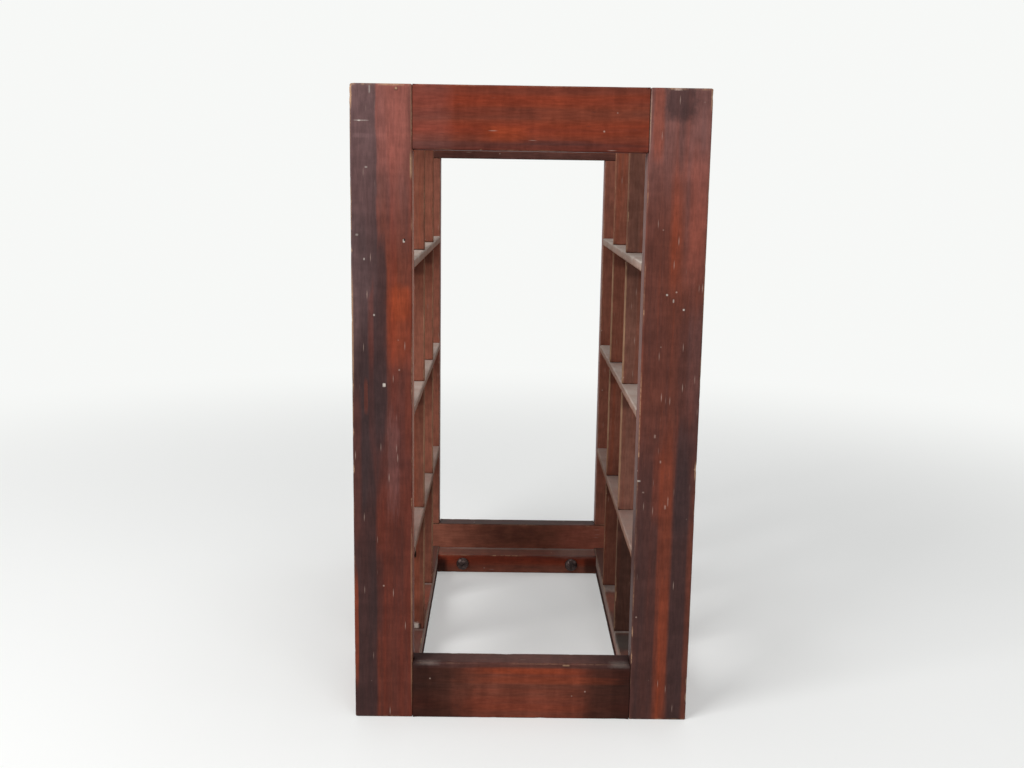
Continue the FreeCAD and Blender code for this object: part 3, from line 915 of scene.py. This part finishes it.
class WINERACK_OT_stiles(Operator):
    """Four corner stiles with dark heartwood bands and knocked edges, halved behind for the end rails"""

    bl_idname = "wine_rack.stiles"
    bl_label = "Corner Stiles"

    def execute(self, context):
        ease = context.scene.wine_rack_sizes.frame_ease
        for node, seed in seeded(FRONT_STILES + REAR_STILES, first=100):
            low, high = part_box(node)
            laps = end_laps(low, high, Z, END_RAIL_TOP + SEAM, (high[Y] - low[Y]) / 2.0)
            piece = board(
                node, low, high, STILE_AXES, ease, seed, rounded=True, notches=laps,
                notch_low=node in REAR_STILES, chips=STILE_CHIPS.get(node, ()),
            )
            material = stained_wood(axis=Z, **STILE_WOODS.get(node, REAR_STILE_WOOD))
            finish_board(piece, node, material)
        return {"FINISHED"}


class WINERACK_OT_end_rails(Operator):
    """Top and bottom rails of the end frames, which lap the stiles on their inner face"""

    bl_idname = "wine_rack.end_rails"
    bl_label = "End Rails"

    def execute(self, context):
        ease = context.scene.wine_rack_sizes.frame_ease
        for node, seed in seeded(FRONT_RAILS + REAR_RAILS, first=300):
            low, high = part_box(node)
            laps = end_laps(low, high, X, OUTER_X - INNER_X + SEAM, (high[Y] - low[Y]) / 2.0 + SEAM)
            at_front = node in FRONT_RAILS
            piece = board(node, low, high, END_RAIL_AXES, ease, seed, notches=laps, notch_low=at_front)
            material = stained_wood(
                axis=X, tones=FRAME_TONES, scuffs=0.12, specular=0.05, contrast=0.4,
                **END_RAIL_WOODS.get(node, REAR_RAIL_WOOD),
            )
            finish_board(piece, node, material)
        return {"FINISHED"}


class WINERACK_OT_side_rails(Operator):
    """Base and top rails that run from front to back under and over the slats"""

    bl_idname = "wine_rack.side_rails"
    bl_label = "Side Rails"

    def execute(self, context):
        ease = context.scene.wine_rack_sizes.frame_ease
        for node, seed in seeded(SIDE_RAILS, first=500):
            low, high = trimmed_box(node, Y, -INNER_Y, INNER_Y)
            piece = board(node, low, high, SIDE_RAIL_AXES, ease, seed)
            material = stained_wood(
                "side_rail_wood", Y, FRAME_TONES, BASE_RAIL_PATCHES, dusty=0.07, gloss=0.6, specular=0.05
            )
            finish_board(piece, node, material)
        return {"FINISHED"}


class WINERACK_OT_shelves(Operator):
    """Shelves of the two lattices, slotted from their outer edge for the dividers"""

    bl_idname = "wine_rack.shelves"
    bl_label = "Lattice Shelves"

    def execute(self, context):
        sizes = context.scene.wine_rack_sizes
        for node, seed in seeded(SHELVES, first=700):
            low, high = trimmed_box(node, Y, -INNER_Y, INNER_Y)
            side, _, level = node.split("_")
            slots = crossing_slots(low, high, Y, side, DIVIDERS, sizes.lap_gap)
            piece = board(
                node, low, high, SHELF_AXES, sizes.slat_ease, seed, notches=slots,
                notch_low=side == "left",
            )
            material = stained_wood(
                f"shelf_{level}_wood", Y, SLAT_TONES, SHELF_PATCHES, dusty=SHELF_DUST[level],
                edge_dust=0.76, raw_edges=0.24, gloss=0.7, specular=0.03,
            )
            finish_board(piece, node, material)
        return {"FINISHED"}


class WINERACK_OT_dividers(Operator):
    """Upright dividers of the two lattices, slotted from their inner edge for the shelves"""

    bl_idname = "wine_rack.dividers"
    bl_label = "Lattice Dividers"

    def execute(self, context):
        sizes = context.scene.wine_rack_sizes
        for node, seed in seeded(DIVIDERS, first=900):
            low, high = trimmed_box(node, Z, BASE_TOP, HEAD_LOW)
            side = node.split("_")[0]
            slots = crossing_slots(low, high, Z, side, SHELVES, sizes.lap_gap)
            piece = board(
                node, low, high, DIVIDER_AXES, sizes.slat_ease, seed, notches=slots,
                notch_low=side == "right",
            )
            material = stained_wood(
                "divider_wood", Z, SLAT_TONES, DIVIDER_PATCHES, dusty=0.30, raw_edges=0.40, gloss=0.7,
                specular=0.03,
            )
            finish_board(piece, node, material)
        return {"FINISHED"}


class WINERACK_OT_cleats(Operator):
    """Cleats screwed along the inside of the two bottom rails"""

    bl_idname = "wine_rack.cleats"
    bl_label = "Bottom Cleats"

    def execute(self, context):
        ease = context.scene.wine_rack_sizes.frame_ease
        for node, seed in seeded(CLEATS, first=1100):
            low, high = trimmed_box(node, X, -INNER_X, INNER_X)
            piece = board(node, low, high, CLEAT_AXES, ease, seed)
            material = stained_wood("cleat_wood", X, CLEAT_TONES, CLEAT_PATCHES, dusty=0.06)
            finish_board(piece, node, material)
        return {"FINISHED"}


SCREW_RINGS = 28
SCREW_SPOKES = 96
SCREW_RISE = 4.5 * MM
SCREW_SKIRT = 0.6 * MM
SCREW_RUB = 3.2
SLOT_EDGE = 0.2 * MM
SLOT_SINK = 0.12
SLOT_TURNS = (0.15, 1.35, 0.55, 1.62)


def screw_heads(name, centres, facings, radius, slot_width, slot_depth):
    """Round screw heads: height rise sqrt(1 - q^2) over radius q, less a slot across the middle.

    The slot lowers the dome by `slot_depth` and a little more where the distance from its line is under
    half its width, eased over `SLOT_EDGE`. A short skirt at the rim runs into the wood behind.
    """
    share = np.linspace(0.0, 1.0, SCREW_RINGS)
    spin = np.linspace(0.0, 2.0 * np.pi, SCREW_SPOKES, endpoint=False)
    q = np.sin(share * np.pi / 2.0)[:, None] * np.ones(SCREW_SPOKES)
    across = q * radius * np.cos(spin)
    up = q * radius * np.sin(spin)
    dome = SCREW_RISE * np.sqrt(np.clip(1.0 - q * q, 0.0, 1.0))
    slot_floor = np.maximum(SCREW_RISE - slot_depth - SLOT_SINK * SCREW_RISE, 0.0)
    index = np.arange((SCREW_RINGS + 1) * SCREW_SPOKES).reshape(-1, SCREW_SPOKES)
    ahead = np.roll(index, -1, axis=1)
    quads = np.stack([index[:-1], index[1:], ahead[1:], ahead[:-1]], axis=-1).reshape(-1, 4)
    back = index[-1:, ::-1]
    points, faces = [], []
    for number, (centre, facing, turn) in enumerate(zip(centres, facings, SLOT_TURNS)):
        line = np.abs(across * np.sin(turn) - up * np.cos(turn))
        slot = np.clip((slot_width / 2.0 + SLOT_EDGE - line) / SLOT_EDGE, 0.0, 1.0)
        slot = slot * slot * (3.0 - 2.0 * slot)
        height = dome * (1.0 - slot) + np.minimum(dome, slot_floor) * slot
        head = np.stack([centre[X] + across, centre[Y] + facing * height, centre[Z] + up], axis=-1)
        skirt = head[-1:].copy()
        skirt[..., Y] = centre[Y] - facing * SCREW_SKIRT
        points.append(np.concatenate([head, skirt]).reshape(-1, 3))
        order = -1 if facing > 0.0 else 1
        for part in (quads, back):
            faces += (number * index.size + part[:, ::order]).tolist()
    mesh = bpy.data.meshes.new(name)
    mesh.from_pydata(np.concatenate(points).tolist(), [], faces)
    smoothed(mesh, degrees=45.0)
    return linked(name, mesh)


def aged_bronze():
    """Dark oxidised metal with brighter rubbed patches."""
    material, tree, shader, position = new_material("screw_bronze")
    cloud = noise(tree, position, 700.0, 4.0, 0.6)
    *metal, opaque = paint("screw")
    rubbed = (*(SCREW_RUB * part for part in metal), opaque)
    base = blend(tree, eased(tree, cloud, 0.45, 0.75), paint("screw"), rubbed)
    rough = eased(tree, cloud, 0.3, 0.8, 0.30, 0.50)
    bump = put(tree, "ShaderNodeBump", {"Height": cloud, "Strength": 0.15, "Distance": 0.2 * MM})
    finish = {"Base Color": base, "Roughness": rough, "Metallic": 0.6, "Normal": bump.outputs["Normal"]}
    set_inputs(tree, shader, finish)
    return material


class WINERACK_OT_screws(Operator):
    """Four round-headed screws through the cleats"""

    bl_idname = "wine_rack.screws"
    bl_label = "Cleat Screws"

    def execute(self, context):
        sizes = context.scene.wine_rack_sizes
        low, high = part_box(SCREWS)
        front_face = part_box("front_cleat")[1][Y]
        rear_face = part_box("rear_cleat")[0][Y]
        radius = (high[Z] - low[Z]) / 2.0
        level = (high[Z] + low[Z]) / 2.0
        spots = (low[X] + radius, high[X] - radius)
        centres = [(x, y, level) for y in (front_face, rear_face) for x in spots]
        facings = (1.0, 1.0, -1.0, -1.0)
        piece = screw_heads(
            "cleat_screw_heads", centres, facings, radius, sizes.slot_width, sizes.slot_depth
        )
        piece.data.materials.append(aged_bronze())
        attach(piece, "root")
        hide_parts(SCREWS)
        return {"FINISHED"}


FLOOR_REACH = 6.0
FLOOR_STEPS = 25
WHITE = (0.93, 0.94, 0.925, 1.0)
NEAR_WHITE_SHARE = 0.25
FLOOR_BOUNCE = (0.45, 0.455, 0.45, 1.0)
WHITE_FROM = 0.45
WHITE_TO = 1.45
SKY = (0.97, 0.98, 1.0, 1.0)
SKY_STRENGTH = 0.42
CAMERA_PLACE = (-0.016919, -0.990540, 0.406220)
CAMERA_PITCH = math.radians(10.310)
CAMERA_ROLL = math.radians(0.866)
CAMERA_YAW = math.radians(0.460)
CAMERA_LENS = 39.87
SENSOR_WIDTH = 36.0
CLIP_START = 0.01

# Name, place, aim, size and power of each lamp.
LAMPS = (
    ("key_lamp", (-1.25, -1.20, 1.20), (0.0, 0.0, 0.30), 1.0, 27.0),
    ("fill_lamp", (0.60, -1.60, 1.30), (0.0, 0.0, 0.25), 1.0, 8.0),
    ("top_lamp", (0.10, 0.35, 1.90), (0.0, 0.0, 0.20), 1.4, 6.0),
)


def pale_floor():
    """Flat studio floor: the plane z = 0 over a square grid of points."""
    side = np.linspace(-FLOOR_REACH, FLOOR_REACH, FLOOR_STEPS)
    across, ahead = np.meshgrid(side, side)
    points = np.stack([across, ahead, np.zeros_like(across)], axis=-1)
    index = np.arange(FLOOR_STEPS * FLOOR_STEPS).reshape(FLOOR_STEPS, FLOOR_STEPS)
    quads = np.stack([index[:-1, :-1], index[:-1, 1:], index[1:, 1:], index[1:, :-1]], axis=-1)
    mesh = bpy.data.meshes.new("studio_floor")
    mesh.from_pydata(points.reshape(-1, 3).tolist(), [], quads.reshape(-1, 4).tolist())
    mesh.update()
    return linked("studio_floor", mesh)


def seen_directly(tree):
    """One for rays from the camera, a gloss or a glass, which show the white surroundings."""
    path = tree.nodes.new("ShaderNodeLightPath").outputs
    seen = calc(tree, "ADD", path["Is Camera Ray"], path["Is Glossy Ray"])
    return calc(tree, "MINIMUM", calc(tree, "ADD", seen, path["Is Transmission Ray"]), 1.0)


def pale_paper():
    """Matt paper with shadows near the rack, which turns to the white of the surroundings further off."""
    material, tree, shader, position = new_material("pale_paper")
    seen = seen_directly(tree)
    base = blend(tree, seen, FLOOR_BOUNCE, paint("floor"))
    set_inputs(tree, shader, {"Base Color": base, "Roughness": 0.7, "Specular IOR Level": 0.2})
    distance = vector_calc(tree, "LENGTH", position)
    far_share = eased(tree, distance, WHITE_FROM, WHITE_TO, NEAR_WHITE_SHARE, 1.0)
    glow = put(tree, "ShaderNodeEmission", {"Color": WHITE, "Strength": 1.0})
    share = calc(tree, "MULTIPLY", far_share, seen)
    mixed = put(tree, "ShaderNodeMixShader", {0: share, 1: shader.outputs[0], 2: glow.outputs[0]})
    tree.links.new(mixed.outputs[0], tree.nodes["Material Output"].inputs["Surface"])
    return material


def soft_lamp(name, place, aim, size, power):
    """Square area lamp that faces a point."""
    data = bpy.data.lights.new(name, "AREA")
    data.shape = "SQUARE"
    data.size = size
    data.energy = power
    lamp = linked(name, data)
    lamp.location = place
    lamp.rotation_euler = (Vector(aim) - Vector(place)).to_track_quat("-Z", "Y").to_euler()


def even_surroundings():
    """World that lights evenly and looks white."""
    world = bpy.data.worlds.new("even_surroundings")
    world.use_nodes = True
    tree = world.node_tree
    tree.nodes.clear()
    light = put(tree, "ShaderNodeBackground", {"Color": SKY, "Strength": SKY_STRENGTH}).outputs[0]
    white = put(tree, "ShaderNodeBackground", {"Color": WHITE, "Strength": 1.0}).outputs[0]
    mixed = put(tree, "ShaderNodeMixShader", {0: seen_directly(tree), 1: light, 2: white})
    put(tree, "ShaderNodeOutputWorld", {"Surface": mixed.outputs[0]})
    return world


def camera_turn():
    """Rotation of the camera from its yaw, its downward pitch and its roll about the view line."""
    ahead = Vector((
        math.sin(CAMERA_YAW) * math.cos(CAMERA_PITCH),
        math.cos(CAMERA_YAW) * math.cos(CAMERA_PITCH),
        -math.sin(CAMERA_PITCH),
    ))
    right = Vector((math.cos(CAMERA_YAW), -math.sin(CAMERA_YAW), 0.0))
    down = ahead.cross(right)
    rolled_right = right * math.cos(CAMERA_ROLL) - down * math.sin(CAMERA_ROLL)
    rolled_down = right * math.sin(CAMERA_ROLL) + down * math.cos(CAMERA_ROLL)
    return Matrix((rolled_right, -rolled_down, -ahead)).transposed()


class WINERACK_OT_stage(Operator):
    """Pale floor, soft lamps, even surroundings and the camera"""

    bl_idname = "wine_rack.stage"
    bl_label = "Studio Stage"

    def execute(self, context):
        scene = context.scene
        floor = pale_floor()
        floor.data.materials.append(pale_paper())
        for lamp in LAMPS:
            soft_lamp(*lamp)
        scene.world = even_surroundings()

        data = bpy.data.cameras.new("camera")
        data.sensor_fit = "HORIZONTAL"
        data.sensor_width = SENSOR_WIDTH
        data.lens = CAMERA_LENS
        data.clip_start = CLIP_START
        camera = linked("camera", data)
        camera.matrix_world = Matrix.Translation(CAMERA_PLACE) @ camera_turn().to_4x4()
        scene.camera = camera
        scene.view_settings.view_transform = "Standard"
        return {"FINISHED"}


BUILD_STEPS = (
    WINERACK_OT_stiles,
    WINERACK_OT_end_rails,
    WINERACK_OT_side_rails,
    WINERACK_OT_shelves,
    WINERACK_OT_dividers,
    WINERACK_OT_cleats,
    WINERACK_OT_screws,
    WINERACK_OT_stage,
)


class WINERACK_PT_sidebar(Panel):
    """Sidebar with the rack's sizes, colours and building steps"""

    bl_idname = "WINERACK_PT_sidebar"
    bl_label = "Wine Rack"
    bl_space_type = "VIEW_3D"
    bl_region_type = "UI"
    bl_category = "Wine Rack"

    def draw(self, context):
        for group in (context.scene.wine_rack_sizes, context.scene.wine_rack_colours):
            box = self.layout.box()
            for name in group.__annotations__:
                box.prop(group, name)
        for step in BUILD_STEPS:
            self.layout.operator(step.bl_idname)


CLASSES = (WineRackSizes, WineRackColours) + BUILD_STEPS + (WINERACK_PT_sidebar,)


def register():
    """Registers the classes and hangs the two property groups on the scene."""
    for part in CLASSES:
        bpy.utils.register_class(part)
    bpy.types.Scene.wine_rack_sizes = PointerProperty(type=WineRackSizes)
    bpy.types.Scene.wine_rack_colours = PointerProperty(type=WineRackColours)


def unregister():
    """Takes back what register added."""
    del bpy.types.Scene.wine_rack_colours
    del bpy.types.Scene.wine_rack_sizes
    for part in reversed(CLASSES):
        bpy.utils.unregister_class(part)


def main():
    register()
    bpy.ops.wine_rack.stiles()
    bpy.ops.wine_rack.end_rails()
    bpy.ops.wine_rack.side_rails()
    bpy.ops.wine_rack.shelves()
    bpy.ops.wine_rack.dividers()
    bpy.ops.wine_rack.cleats()
    bpy.ops.wine_rack.screws()
    bpy.ops.wine_rack.stage()
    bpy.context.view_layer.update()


if __name__ == "__main__":
    main()
